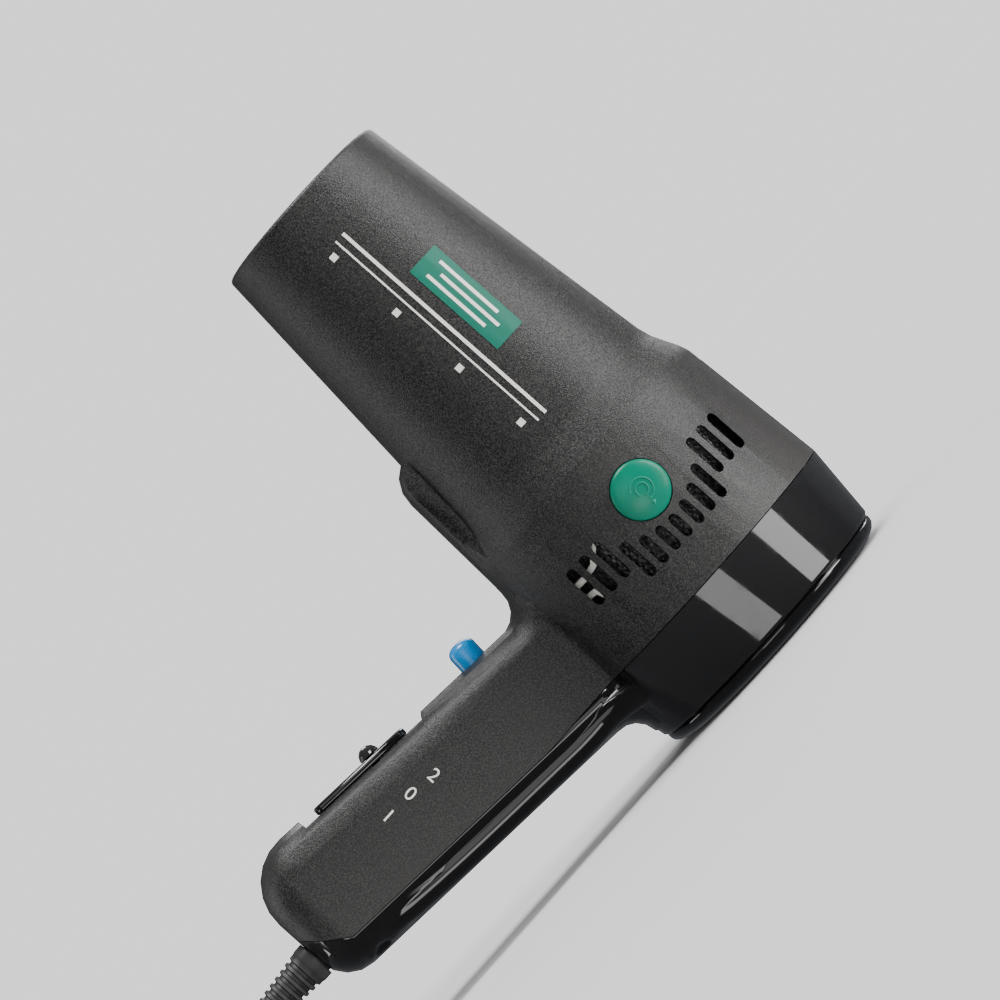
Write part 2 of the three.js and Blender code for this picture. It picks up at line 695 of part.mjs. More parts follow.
function motorMount() {
  const flange = ring(ductRadius, innerRadius(flangeHeight + 2) - gap, flangeHeight, flangeHeight + 2, 40);
  const duct = ring(ductRadius, ductRadius + ductWall, flangeHeight, ductFront, 40);
  const cup = ring(vaneInner, vaneInner + 1.5, motorRear, ductFront, 24);
  const vanes = [];
  const count = 9;
  for (let i = 0; i < count; i++) {
    const vane = block(vaneInner + 0.7, ductRadius + 0.7, -0.6, 0.6, motorRear, ductFront);
    vanes.push(solid(vane.rotateZ(2 * Math.PI * i / count)));
  }
  const wireWay = solid(block(-24.5, -16.5, -bodyRadius, -ductRadius + 1.8,
    flangeHeight - 1, flangeHeight + 3));
  return cut(join(solid(flange), solid(duct), solid(cup), ...vanes), wireWay);
}
addPiece('motor_mount', motorMount(), materials.innerBlack);

const shaftRadius = 1.15;
const fanRear = flangeHeight + 1.4;
const hubLength = 11;
addPiece('motor', cut(solid(disc(motorRadius, motorRear, motorRear + motorLength, 24)),
  solid(disc(shaftRadius + gap, motorRear - 1, motorRear + 16, 12))), materials.steel);
addPiece('motor_shaft', solid(disc(shaftRadius, fanRear + 2 + gap, motorRear + 15, 12)), materials.steel);

function fan() {
  const blades = [];
  const chord = 13;
  const pitchAngle = THREE.MathUtils.degToRad(38);
  for (let i = 0; i < fanBlades; i++) {
    const blade = block(6.5, fanRadius - 0.6, -chord / 2, chord / 2, -0.7, 0.7);
    blade.rotateX(pitchAngle).translate(0, 0, fanRear + hubLength / 2);
    blades.push(solid(blade.rotateZ(2 * Math.PI * i / fanBlades)));
  }
  const hub = solid(turned([[0, fanRear], [6, fanRear], [8, fanRear + 2], [8, fanRear + hubLength],
    [0, fanRear + hubLength]], 20));
  const bore = solid(disc(shaftRadius + gap, fanRear + 2, fanRear + hubLength + 1, 12));
  return cut(join(hub, ...blades), bore);
}
addPiece('fan', fan(), materials.innerBlack);

// ---- heater ----
const sleeveGap = 0.8;
const sleeveWall = 0.7;
const boardReach = Math.min(boardReachLimit, innerRadius(heaterFront) - sleeveGap - sleeveWall - 1);
const coilRadius = boardReach - coilInset;

function heaterSleeve() {
  const [rear, front] = [heaterRear - 4, heaterFront + 2.5];
  const outerAt = (z) => innerRadius(z) - sleeveGap;
  return solid(turned([[outerAt(rear) - sleeveWall, rear], [outerAt(rear), rear], [outerAt(front), front],
    [outerAt(front) - sleeveWall, front]]));
}
addPiece('heater_sleeve', heaterSleeve(), materials.mica);

const coilHeights = [];
for (let i = 0; i < coilCount; i++) {
  coilHeights.push(lerp(heaterRear + 13, heaterFront - 11, i / (coilCount - 1)));
}

function micaBoard(slotFromFront) {
  const half = boardThickness / 2;
  const middle = (heaterRear + heaterFront) / 2;
  const board = solid(block(-boardReach, boardReach, -half, half, heaterRear, heaterFront));
  const slotHalf = half + gap;
  const slot = slotFromFront
    ? block(-slotHalf, slotHalf, -2, 2, middle - gap / 2, heaterFront + 1)
    : block(-slotHalf, slotHalf, -2, 2, heaterRear - 1, middle + gap / 2);
  const notches = [];
  for (const z of coilHeights) {
    const reach = coilThickness + gap;
    for (const side of [-1, 1]) {
      const [near, far] = [coilRadius - reach, boardReach + 1];
      notches.push(solid(block(Math.min(side * near, side * far), Math.max(side * near, side * far),
        -2, 2, z - reach, z + reach)));
    }
  }
  return cut(board, solid(slot), ...notches);
}
addPiece('mica_board_long', micaBoard(true), materials.mica);
addPiece('mica_board_cross', micaBoard(false), materials.mica).rotation.z = Math.PI / 2;
coilHeights.forEach((z, i) => {
  addPiece(`heater_coil_${i + 1}`, solid(turned(arc(coilRadius, z, coilThickness, 0, 300, 5), 28)),
    materials.nichrome);
});

const boardFace = boardThickness / 2 + gap;
addPiece('thermostat', solid(alongY(disc(5, boardFace, boardFace + 3, 16)).translate(12, 0, heaterRear + 6)),
  materials.brass);
addPiece('thermal_fuse', solid(discAt(-12, boardFace + 1.5, 1.5, heaterRear + 2, heaterRear + 14, 10)),
  materials.steel);

// ---- nozzle grille ----
function nozzleGrille() {
  const front = grilleRear + 5;
  const rim = innerRadius(front) - gap;
  const barWidth = 1.2;
  const rings = [ring(rim - 1.5, rim, grilleRear, front, 32)];
  for (const share of [0.25, 0.5, 0.75]) {
    rings.push(ring(rim * share, rim * share + barWidth, front - 2.4, front - 0.4, 20));
  }
  const spokes = [];
  for (let i = 0; i < 4; i++) {
    const bar = block(-rim + 0.7, rim - 0.7, -barWidth / 2, barWidth / 2, grilleRear + 1, front - 0.7);
    spokes.push(solid(bar.rotateZ(i * Math.PI / 4)));
  }
  return join(...rings.map(solid), ...spokes);
}
addPiece('nozzle_grille', nozzleGrille(), materials.innerBlack);

// ---- handle: chassis, power switch and its knob ----
const chassisTop = 1.8;
const chassisHalf = handleWidth / 2 - wall - 0.4;

function handleChassis() {
  const end = handleReach - 24;
  const plate = solid(block(-end, -58, -chassisHalf, chassisHalf, 0, chassisTop));
  const holes = screwSpots.map(([u, y]) => solid(discAt(-u, y, 3.4 + gap, -1, chassisTop + 1, 20)));
  const edges = screwSpots.map(([u, y]) => solid(block(-u - 3.7, -u + 3.7,
    Math.min(y, y * 2), Math.max(y, y * 2), -1, chassisTop + 1)));
  return cut(plate, ...holes, ...edges);
}
addPiece('handle_chassis', handleChassis(), materials.innerBlack, handle);

const switchBottom = chassisTop + gap;
const switchTop = recessFloor - wall - 0.6;
const sliderTop = switchTop - 3.5;
function powerSwitch() {
  const body = solid(block(-knobPlace - 15, -knobPlace + 13, -8, 8, switchBottom, switchTop));
  const slot = solid(block(-knobPlace - travelHalf, -knobPlace + travelHalf, -2, 2,
    sliderTop - gap, switchTop + 1));
  return cut(body, slot);
}
addPiece('power_switch', powerSwitch(), materials.innerBlack, handle);

const bezelTop = recessFloor + gap + 2.5;

function switchBezel() {
  const start = knobPlace - knobThrow - 3.8;
  const end = start + bezelLength;
  const shape = outlineShape([[-end, -bezelWidth / 2 + 2], [-end + 2, -bezelWidth / 2],
    [-start - 2, -bezelWidth / 2], [-start, -bezelWidth / 2 + 2], [-start, bezelWidth / 2 - 2],
    [-start - 2, bezelWidth / 2], [-end + 2, bezelWidth / 2], [-end, bezelWidth / 2 - 2]]);
  const frame = new THREE.ExtrudeGeometry(shape, { depth: 1.5, bevelThickness: 0.5, bevelSize: 0.5,
    bevelOffset: -0.5, bevelSegments: 1 });
  const plate = solid(frame.translate(0, 0, recessFloor + gap + 0.5));
  const base = solid(block(-end + 0.8, -start - 0.8, -bezelWidth / 2 + 0.8, bezelWidth / 2 - 0.8,
    recessFloor + gap, recessFloor + gap + 1));
  const slot = solid(block(-knobPlace - travelHalf, -knobPlace + travelHalf, -1.9, 1.9,
    recessFloor - 2, bezelTop + 1));
  return cut(join(plate, base), slot);
}
addPiece('switch_bezel', switchBezel(), materials.glossBlack, handle);

function switchKnob() {
  const base = bezelTop + gap;
  const half = 3.3;
  const cap = prismY([[-half, base], [half, base], ...arc(0, base, half, 15, 165, 6)], -5.5, 5.5);
  const neck = block(-1.6, 1.6, -1.5, 1.5, sliderTop, base + 1);
  return join(solid(cap.translate(-knobPlace, 0, 0)), solid(neck.translate(-knobPlace, 0, 0)));
}
addPiece('switch_knob', switchKnob(), materials.glossBlack, handle);

// ---- cool-shot button and its switch ----
const coolSwitchTop = switchBottom + 10;
const coolFlange = handleTop - wall - gap;

function coolButton() {
  const top = handleTop + coolRise;
  const profile = [
    [0, top], [coolRadius - 1.9, top], [coolRadius - 0.5, top - 0.6], [coolRadius, top - 2],
    [coolRadius, coolFlange],
    [coolRadius + 1.5, coolFlange], [coolRadius + 1.5, coolFlange - 1.4], [1.8, coolFlange - 1.4],
    [1.8, coolSwitchTop + 3.2], [0, coolSwitchTop + 3.2],
  ];
  return solid(turned(profile, 20).translate(-coolPlace, 0, 0));
}
addPiece('cool_button', coolButton(), materials.blue, handle);
addPiece('cool_spring', solid(spring(3.4, 0.4, coolSwitchTop + gap, coolFlange - 1.4 - gap, 4)
  .translate(-coolPlace, 0, 0)), materials.steel, handle);
addPiece('cool_switch',
  solid(block(-coolPlace - 10, -coolPlace + 10, -3.3, 3.3, switchBottom, coolSwitchTop)),
  materials.innerBlack, handle);

// ---- leads from the switch to the motor and to the reel's contacts ----
const leadRadius = 1.15;
const leadClearance = gap + leadRadius + 0.35;
const onWall = (degrees, z) => {
  const angle = THREE.MathUtils.degToRad(degrees);
  const track = innerRadius(z) - leadClearance;
  return [track * Math.cos(angle), track * Math.sin(angle), z];
};
const leadStart = knobPlace - 13.6;
addPiece('motor_lead', solid(cable([
  handlePoint(leadStart, -5.2, 8), handlePoint(82, -5.2, 8), handlePoint(60, -6, 9.5), [-48, -8.5, 53.5],
  [-41.5, -13, 56.4], onWall(212, 57.7), onWall(222, 57.8), onWall(233, 58), onWall(239.5, 61),
  onWall(241, 66), onWall(241.5, 73), onWall(241.5, 79),
], leadRadius, 6)), materials.white);
addPiece('contact_lead', solid(cable([
  handlePoint(leadStart, 5.2, 8), handlePoint(82, 5.2, 8), handlePoint(58, 4.8, 8), [-48, -1.5, 47.5],
  [-41.5, -11, 51.4], onWall(211, 52.8), onWall(220, 53), onWall(227.4, 52.4), onWall(229.3, 49),
  onWall(229.3, 43), onWall(229.3, 36),
], leadRadius, 6)), materials.white);

// ---- cord: out of the reel, through the handle and its outlet, and on to the plug ----
const boreRadius = cordRadius + 0.45;
const outletEnd = -handleReach - outletLength;

function cordOutlet() {
  const face = -handleReach - gap;
  const inside = -handleReach + wall + gap + 0.9;
  const profile = [
    [boreRadius, outletEnd], [outletNeck - 0.7, outletEnd], [outletNeck - 0.2, outletEnd + 1.5],
    [outletNeck + 1.2, face - 3], [outletNeck + 1.2, face],
    [outletNeck, face], [outletNeck, inside], [outletNeck + 1.2, inside + 1.2],
    [outletNeck + 1.2, inside + 2.6], [boreRadius, inside + 2.6],
  ];
  return solid(alongX(turned(profile, 24)).translate(0, 0, outletHeight));
}
addPiece('cord_outlet', cordOutlet(), materials.innerBlack);

const cordHeight = (reelRear + reelFront) / 2;
const tangent = THREE.MathUtils.degToRad(132.3);
const tangentRadius = windingRadius + gap + 0.05 + cordRadius;
addPiece('cord_run', solid(cable([
  [tangentRadius * Math.cos(tangent), tangentRadius * Math.sin(tangent), cordHeight],
  [-36, 16.8, 18], [-46, 8.5, 21.8], [-57, 2.5, 27.2],
  handlePoint(71.5, 0, -9.4), handlePoint(92, 0, -8), handlePoint(handleReach - 38.5, 0, -8),
  [-handleReach + 19.5, 0, outletHeight - 0.5], [-handleReach + 11.5, 0, outletHeight - 0.1],
  [-handleReach + 4.5, 0, outletHeight], [-handleReach - 7.5, 0, outletHeight],
  [outletEnd, 0, outletHeight],
], cordRadius, 10)), materials.cordBlack);

// ---- plug, lying on its flat side ----
const plugLength = 66;
const plugWidth = 48;
const plugHeight = 30;
const plugCentre = plugHeight / 2;

// The free stretch: how far out of the outlet, and how much of the drop to the plug is left.
const freeRoute = [
  [0, 1], [5.3, 1], [10.6, 1], [15.9, 0.996], [21.1, 0.967], [26, 0.911], [30.6, 0.83], [34.6, 0.727],
  [38.4, 0.617], [42.2, 0.507], [46, 0.397], [49.8, 0.287], [53.8, 0.182], [58.2, 0.098],
  [63.1, 0.039], [68.3, 0.006], [73.6, 0], [78.9, 0],
];
const freeStart = outletEnd - gap;
const freeEnd = freeStart - freeRoute[freeRoute.length - 1][0];
addPiece('cord_free', solid(cable(freeRoute.map(([out, drop]) => [
  freeStart - out, 0, lerp(plugCentre, outletHeight, drop),
]), cordRadius, 10)), materials.cordBlack);

const reliefLength = 8;
const plugEntry = freeEnd - reliefLength;
const plugFront = plugEntry - plugLength;
const keySpots = [['reset_button', -9], ['test_button', 9]];
const keyPlace = plugEntry - 34;
const keyHalf = { x: 3.2, y: 4.6 };

function plugBody() {
  const corner = 11;
  const edge = 2.5;
  const half = plugWidth / 2;
  const outline = [
    [plugFront, -half], [plugEntry - corner, -half], [plugEntry, -half + corner],
    [plugEntry, half - corner], [plugEntry - corner, half], [plugFront, half],
  ];
  const shape = new THREE.ExtrudeGeometry(outlineShape(outline), { depth: plugHeight - 2 * edge,
    bevelThickness: edge, bevelSize: edge, bevelOffset: -edge, bevelSegments: 3 });
  const body = solid(shape.translate(0, 0, edge));
  const relief = solid(alongX(turned([[0, plugEntry - 2], [6.5, plugEntry - 2], [5.6, plugEntry + 2],
    [4.4, freeEnd - gap], [0, freeEnd - gap]], 20)).translate(0, 0, plugCentre));
  const keyHoles = keySpots.map(([, y]) => solid(block(keyPlace - keyHalf.x - gap, keyPlace + keyHalf.x + gap,
    y - keyHalf.y - gap, y + keyHalf.y + gap, plugHeight - 4, plugHeight + 1)));
  const bladeHoles = [-6.35, 6.35].map((y) => solid(block(plugFront - 1, plugFront + 8,
    y - 0.75 - gap, y + 0.75 + gap, plugCentre - 3.2 - gap, plugCentre + 3.2 + gap)));
  return cut(join(body, relief), ...keyHoles, ...bladeHoles);
}
addPiece('plug_body', plugBody(), materials.innerBlack);
for (const [name, y] of [['plug_blade_left', -6.35], ['plug_blade_right', 6.35]]) {
  addPiece(name, solid(block(plugFront - 17, plugFront + 7.4, y - 0.75, y + 0.75,
    plugCentre - 3.2, plugCentre + 3.2)), materials.brass);
}
for (const [name, y] of keySpots) {
  addPiece(name, solid(block(keyPlace - keyHalf.x, keyPlace + keyHalf.x, y - keyHalf.y, y + keyHalf.y,
    plugHeight - 2.4, plugHeight + 0.9)), materials.nylon);
}

export default dryer;
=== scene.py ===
import json
import math

import bmesh
import bpy
from mathutils import Matrix, Vector


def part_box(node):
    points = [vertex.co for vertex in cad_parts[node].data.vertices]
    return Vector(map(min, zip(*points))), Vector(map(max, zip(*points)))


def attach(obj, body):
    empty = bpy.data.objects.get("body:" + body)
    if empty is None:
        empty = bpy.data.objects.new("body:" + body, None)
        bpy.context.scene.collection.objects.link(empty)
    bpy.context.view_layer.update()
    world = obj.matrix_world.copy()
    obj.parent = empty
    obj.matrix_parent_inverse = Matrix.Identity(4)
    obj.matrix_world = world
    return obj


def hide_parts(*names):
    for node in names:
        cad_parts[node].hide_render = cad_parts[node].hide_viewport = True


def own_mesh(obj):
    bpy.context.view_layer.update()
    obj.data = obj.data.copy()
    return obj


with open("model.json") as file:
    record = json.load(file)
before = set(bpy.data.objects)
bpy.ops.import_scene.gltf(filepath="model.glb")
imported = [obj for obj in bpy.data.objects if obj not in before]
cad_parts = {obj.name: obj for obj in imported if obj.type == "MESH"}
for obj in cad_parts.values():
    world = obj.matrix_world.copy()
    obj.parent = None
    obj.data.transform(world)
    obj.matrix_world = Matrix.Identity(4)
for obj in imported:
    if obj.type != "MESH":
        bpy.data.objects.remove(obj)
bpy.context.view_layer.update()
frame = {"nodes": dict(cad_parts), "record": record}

MM = 0.001

# ---- sizes of the dryer, in millimetres ----
SHOULDER_REAR = 82.1
SHOULDER_RADIUS = 46.8
BODY_RADIUS = 50.0
JOINT_HEIGHT = 30.5
HANDLE_LEAN = math.radians(5)
HANDLE_AXIS_HEIGHT = 36.0
HANDLE_TOP = 23.0
HANDLE_END = -169.8
BUTTON_HEIGHT = 63.2
COOL_PLACE = -71.9
CORD_DIAMETER = 5.5
OUTLET_END = -191.5
OUTLET_HEIGHT = 40.53
PLUG_CENTRE = 15.0
PLUG_NOSE_LENGTH = 8
PLUG_SIDE = 24.0
CORD_GAP = 0.3


def shell_radius(z):
    """The barrel's radius between the joint line and the shoulder."""
    share = (z - JOINT_HEIGHT) / (SHOULDER_REAR - JOINT_HEIGHT)
    return BODY_RADIUS + (SHOULDER_RADIUS - BODY_RADIUS) * share


# ---- camera ----
YAW = math.radians(4.8)
AIM = Vector((-26.6, 0, 92.6)) * MM
CAMERA_DISTANCE = 1.4
ROLL_COSINE, ROLL_SINE = 0.6678, 0.7443
LENS = 162.6
SENSOR_WIDTH = 36
across = Vector((math.cos(YAW), -math.sin(YAW), 0))
upright = Vector((0, 0, 1))
picture_right = ROLL_COSINE * across - ROLL_SINE * upright
picture_up = ROLL_SINE * across + ROLL_COSINE * upright
toward_camera = Vector((-math.sin(YAW), -math.cos(YAW), 0))
camera_data = bpy.data.cameras.new("studio_camera")
camera_data.lens = LENS
camera_data.sensor_width = SENSOR_WIDTH
camera_data.clip_start = 0.05
camera_data.clip_end = 100
camera = bpy.data.objects.new("studio_camera", camera_data)
bpy.context.scene.collection.objects.link(camera)
turn = Matrix((picture_right, picture_up, toward_camera)).transposed()
camera.matrix_world = Matrix.Translation(AIM + toward_camera * CAMERA_DISTANCE) @ turn.to_4x4()
bpy.context.scene.camera = camera


# ---- materials ----
class Finish:
    """A material whose nodes are added one after another."""

    def __init__(self, name, color, roughness, metallic=0.0, **sockets):
        self.material = bpy.data.materials.new(name)
        self.material.use_nodes = True
        self.nodes = self.material.node_tree.nodes
        self.links = self.material.node_tree.links
        self.shader = self.nodes["Principled BSDF"]
        self.shader.inputs["Base Color"].default_value = (*color, 1)
        self.shader.inputs["Roughness"].default_value = roughness
        self.shader.inputs["Metallic"].default_value = metallic
        for socket, value in sockets.items():
            self.shader.inputs[socket.replace("_", " ")].default_value = value
        self.place = self.nodes.new("ShaderNodeTexCoord").outputs["Object"]
        self.height = None

    def noise(self, scale, detail=3.0, roughness=0.55):
        node = self.nodes.new("ShaderNodeTexNoise")
        node.inputs["Scale"].default_value = scale
        node.inputs["Detail"].default_value = detail
        node.inputs["Roughness"].default_value = roughness
        self.links.new(self.place, node.inputs["Vector"])
        return node.outputs["Fac"]

    def cells(self, scale):
        node = self.nodes.new("ShaderNodeTexVoronoi")
        node.inputs["Scale"].default_value = scale
        self.links.new(self.place, node.inputs["Vector"])
        return node.outputs["Distance"]

    def between(self, factor, low, high, start=0.0, end=1.0):
        node = self.nodes.new("ShaderNodeMapRange")
        node.inputs["From Min"].default_value = start
        node.inputs["From Max"].default_value = end
        node.inputs["To Min"].default_value = low
        node.inputs["To Max"].default_value = high
        self.links.new(factor, node.inputs["Value"])
        return node.outputs["Result"]

    def worn_edges(self, start=0.52, end=0.62):
        geometry = self.nodes.new("ShaderNodeNewGeometry")
        return self.between(geometry.outputs["Pointiness"], 0, 1, start, end)

    def color_between(self, factor, first, second):
        node = self.nodes.new("ShaderNodeMix")
        node.data_type = "RGBA"
        node.inputs["A"].default_value = (*first, 1)
        node.inputs["B"].default_value = (*second, 1)
        self.links.new(factor, node.inputs["Factor"])
        return node.outputs["Result"]

    def paint(self, factor, first, second):
        self.links.new(self.color_between(factor, first, second), self.shader.inputs["Base Color"])
        return self

    def overpaint(self, factor, color):
        """A second colour over what already feeds the base colour."""
        socket = self.shader.inputs["Base Color"]
        node = self.nodes.new("ShaderNodeMix")
        node.data_type = "RGBA"
        self.links.new(socket.links[0].from_socket, node.inputs["A"])
        node.inputs["B"].default_value = (*color, 1)
        self.links.new(factor, node.inputs["Factor"])
        self.links.new(node.outputs["Result"], socket)
        return self

    def rough(self, factor, low, high):
        self.links.new(self.between(factor, low, high), self.shader.inputs["Roughness"])
        return self

    def bump(self, factor, strength, distance):
        node = self.nodes.new("ShaderNodeBump")
        node.inputs["Strength"].default_value = strength
        node.inputs["Distance"].default_value = distance
        self.links.new(factor, node.inputs["Height"])
        if self.height:
            self.links.new(self.height, node.inputs["Normal"])
        self.height = node.outputs["Normal"]
        self.links.new(self.height, self.shader.inputs["Normal"])
        return self


def matte_shell_finish():
    finish = Finish("matte_shell", (0.008, 0.0075, 0.0075), 0.42, Specular_IOR_Level=0.38)
    finish.paint(finish.between(finish.noise(1900, 2), 0, 1, 0.4, 0.68),
                 (0.003, 0.0029, 0.0029), (0.04, 0.038, 0.036))
    finish.overpaint(finish.between(finish.noise(60, 4), 0, 0.3, 0.45, 0.75),
                     (0.014, 0.0125, 0.012))
    finish.overpaint(finish.worn_edges(0.53, 0.7), (0.05, 0.048, 0.046))
    finish.rough(finish.noise(1200, 3), 0.34, 0.52)
    finish.bump(finish.noise(2700, 1, 0.5), 0.7, 0.00022)
    finish.bump(finish.cells(3200), 0.4, 0.00012)
    return finish.material


def gloss_shell_finish():
    finish = Finish("gloss_shell", (0.003, 0.003, 0.0032), 0.07, Coat_Weight=0.25,
                    Coat_Roughness=0.04)
    finish.paint(finish.noise(35, 4), (0.002, 0.002, 0.0021), (0.005, 0.005, 0.0052))
    finish.overpaint(finish.worn_edges(0.55, 0.75), (0.03, 0.03, 0.031))
    finish.rough(finish.between(finish.noise(180, 6, 0.65), 0, 1, 0.45, 0.8), 0.05, 0.16)
    finish.bump(finish.noise(55, 2), 0.05, 0.0004)
    return finish.material


def inner_plastic_finish():
    finish = Finish("inner_plastic", (0.018, 0.018, 0.019), 0.5)
    finish.paint(finish.noise(300, 4), (0.012, 0.012, 0.0125), (0.028, 0.0275, 0.028))
    finish.overpaint(finish.worn_edges(), (0.06, 0.058, 0.056))
    finish.rough(finish.noise(700), 0.4, 0.6)
    finish.bump(finish.noise(1800, 2), 0.3, 0.0001)
    return finish.material


def teal_finish():
    finish = Finish("teal_button", (0.0, 0.13, 0.078), 0.24, Specular_IOR_Level=0.22,
                    Coat_Weight=0.03, Coat_Roughness=0.12)
    finish.paint(finish.noise(120, 3), (0.0, 0.125, 0.075), (0.001, 0.165, 0.1))
    finish.overpaint(finish.worn_edges(0.54, 0.66), (0.02, 0.3, 0.21))
    finish.rough(finish.noise(900, 3), 0.26, 0.38)
    finish.bump(finish.noise(2200, 2), 0.12, 0.00008)
    return finish.material


def blue_finish():
    finish = Finish("blue_button", (0.0, 0.24, 0.6), 0.25, Coat_Weight=0.2, Coat_Roughness=0.1)
    finish.paint(finish.noise(150, 3), (0.0, 0.21, 0.56), (0.001, 0.27, 0.66))
    finish.overpaint(finish.worn_edges(0.54, 0.66), (0.05, 0.33, 0.62))
    finish.rough(finish.noise(1100, 3), 0.2, 0.34)
    finish.bump(finish.noise(2200, 2), 0.15, 0.00008)
    return finish.material


def lead_finish():
    finish = Finish("lead_white", (0.78, 0.76, 0.7), 0.42)
    finish.paint(finish.noise(200, 3), (0.7, 0.68, 0.62), (0.82, 0.8, 0.75))
    finish.rough(finish.noise(900), 0.35, 0.5)
    finish.bump(finish.noise(1200, 2), 0.2, 0.0001)
    return finish.material


def nylon_finish():
    finish = Finish("nylon", (0.6, 0.56, 0.46), 0.45, Subsurface_Weight=0.1)
    finish.shader.inputs["Subsurface Radius"].default_value = (0.002, 0.0015, 0.001)
    finish.paint(finish.noise(260, 3), (0.54, 0.5, 0.4), (0.66, 0.62, 0.52))
    finish.rough(finish.noise(900), 0.36, 0.52)
    finish.bump(finish.noise(1400, 2), 0.2, 0.0001)
    return finish.material


def cord_finish():
    finish = Finish("cord_black", (0.012, 0.012, 0.012), 0.45)
    finish.paint(finish.noise(240, 4), (0.009, 0.009, 0.009), (0.022, 0.0215, 0.021))
    finish.rough(finish.noise(500, 4), 0.36, 0.56)
    finish.bump(finish.noise(900, 3), 0.3, 0.00015)
    return finish.material


def mica_finish():
    finish = Finish("mica", (0.42, 0.36, 0.26), 0.5)
    finish.paint(finish.noise(420, 6, 0.7), (0.26, 0.21, 0.14), (0.6, 0.53, 0.4))
    finish.rough(finish.cells(600), 0.3, 0.65)
    finish.bump(finish.cells(900), 0.4, 0.0002)
    return finish.material


def steel_finish():
    finish = Finish("steel", (0.5, 0.51, 0.53), 0.32, 1.0)
    finish.paint(finish.noise(500, 5), (0.4, 0.41, 0.42), (0.6, 0.61, 0.63))
    finish.rough(finish.noise(1600, 4), 0.22, 0.42)
    finish.bump(finish.noise(2600, 2), 0.15, 0.00005)
    return finish.material


def brass_finish():
    finish = Finish("brass", (0.6, 0.42, 0.18), 0.28, 1.0)
    finish.paint(finish.noise(260, 5), (0.5, 0.34, 0.14), (0.72, 0.54, 0.26))
    finish.rough(finish.noise(1300, 4), 0.18, 0.38)
    finish.bump(finish.noise(2200, 2), 0.15, 0.00005)
    return finish.material


def nichrome_finish():
    finish = Finish("nichrome", (0.32, 0.3, 0.28), 0.38, 1.0)
    finish.paint(finish.noise(160, 4), (0.22, 0.2, 0.2), (0.42, 0.38, 0.33))
    finish.rough(finish.noise(1500, 3), 0.28, 0.5)
    finish.bump(finish.noise(2600, 2), 0.2, 0.00005)
    return finish.material


def screen_finish():
    finish = Finish("lint_screen", (0.014, 0.014, 0.015), 0.32)
    finish.paint(finish.between(finish.cells(720), 0, 1, 0.15, 0.6),
                 (0.003, 0.003, 0.003), (0.035, 0.034, 0.034))
    finish.rough(finish.noise(900), 0.26, 0.42)
    finish.bump(finish.cells(720), 0.9, 0.0006)
    return finish.material


def print_finish(name, first, second):
    finish = Finish(name, first, 0.5, Specular_IOR_Level=0.3)
    finish.paint(finish.noise(1500, 4), first, second)
    finish.rough(finish.noise(1100), 0.4, 0.58)
    finish.bump(finish.noise(2000, 2), 0.25, 0.00008)
    return finish.material


finishes = {
    "matte_shell": matte_shell_finish(),
    "gloss_shell": gloss_shell_finish(),
    "inner_plastic": inner_plastic_finish(),
    "teal_button": teal_finish(),
    "blue_button": blue_finish(),
    "lead_white": lead_finish(),
    "nylon": nylon_finish(),
    "cord_black": cord_finish(),
    "mica": mica_finish(),
    "steel": steel_finish(),
    "brass": brass_finish(),
    "nichrome": nichrome_finish(),
}
SCREEN = screen_finish()
WHITE_PRINT = print_finish("white_print", (0.66, 0.65, 0.61), (0.78, 0.76, 0.72))
GREEN_PRINT = print_finish("green_print", (0.0, 0.1, 0.066), (0.001, 0.13, 0.086))

# Every CAD node that stays gets the finish of its own slot.
body_of_node = {}
for body_name, members in frame["record"]["behaviour"]["bodies"].items():
    for member in members:
        body_of_node[member] = body_name
slot_of_node = {row["node"]: row["material_slot"] for row in frame["record"]["subparts"]}
for node_name, node in frame["nodes"].items():
    node.data.materials.clear()
    node.data.materials.append(finishes[slot_of_node[node_name]])
for node_name in ("lint_screen_left", "lint_screen_right"):
    frame["nodes"][node_name].data.materials[0] = SCREEN

HANDLE = Matrix.Translation((0, 0, HANDLE_AXIS_HEIGHT * MM)) @ Matrix.Rotation(HANDLE_LEAN, 4, "Y")
FACING_FRONT_SIDE = Matrix(((0, 1, 0), (0, 0, -1), (-1, 0, 0))).to_4x4()


# ---- modelling steps ----
def clear_selection():
    if bpy.context.object and bpy.context.object.mode != "OBJECT":
        bpy.ops.object.mode_set(mode="OBJECT")
    bpy.ops.object.select_all(action="DESELECT")


def only(piece):
    clear_selection()
    piece.select_set(True)
    bpy.context.view_layer.objects.active = piece
    return piece


def settle(piece):
    only(piece)
    bpy.ops.object.transform_apply(location=True, rotation=True, scale=True)
    return piece


def stand(piece, matrix):
    """Puts a piece that was drawn upright at the origin in its place."""
    piece.matrix_world = matrix @ piece.matrix_world
    return settle(piece)


def with_modifier(piece, kind, **settings):
    only(piece)
    modifier = piece.modifiers.new(kind.lower(), kind)
    for key, value in settings.items():
        setattr(modifier, key, value)
    bpy.ops.object.modifier_apply(modifier=modifier.name)
    return piece


def tidy_faces(piece, threshold=1e-6):
    only(piece)
    bpy.ops.object.mode_set(mode="EDIT")
    bpy.ops.mesh.select_all(action="SELECT")
    bpy.ops.mesh.remove_doubles(threshold=threshold)
    bpy.ops.mesh.normals_make_consistent(inside=False)
    bpy.ops.object.mode_set(mode="OBJECT")
    return piece


def joined(pieces):
    clear_selection()
    for piece in pieces:
        piece.select_set(True)
    bpy.context.view_layer.objects.active = pieces[0]
    bpy.ops.object.join()
    return bpy.context.object


def dress(piece, name, body, slot, material=None, stands_for=(), angle=35):
    piece.name = name
    piece.data.name = name
    piece.data.materials.clear()
    piece.data.materials.append(material or finishes[slot])
    if piece.type == "MESH":
        only(piece)
        bpy.ops.object.shade_smooth_by_angle(angle=math.radians(angle))
    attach(piece, body)
    if stands_for:
        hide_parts(*stands_for)
    return piece


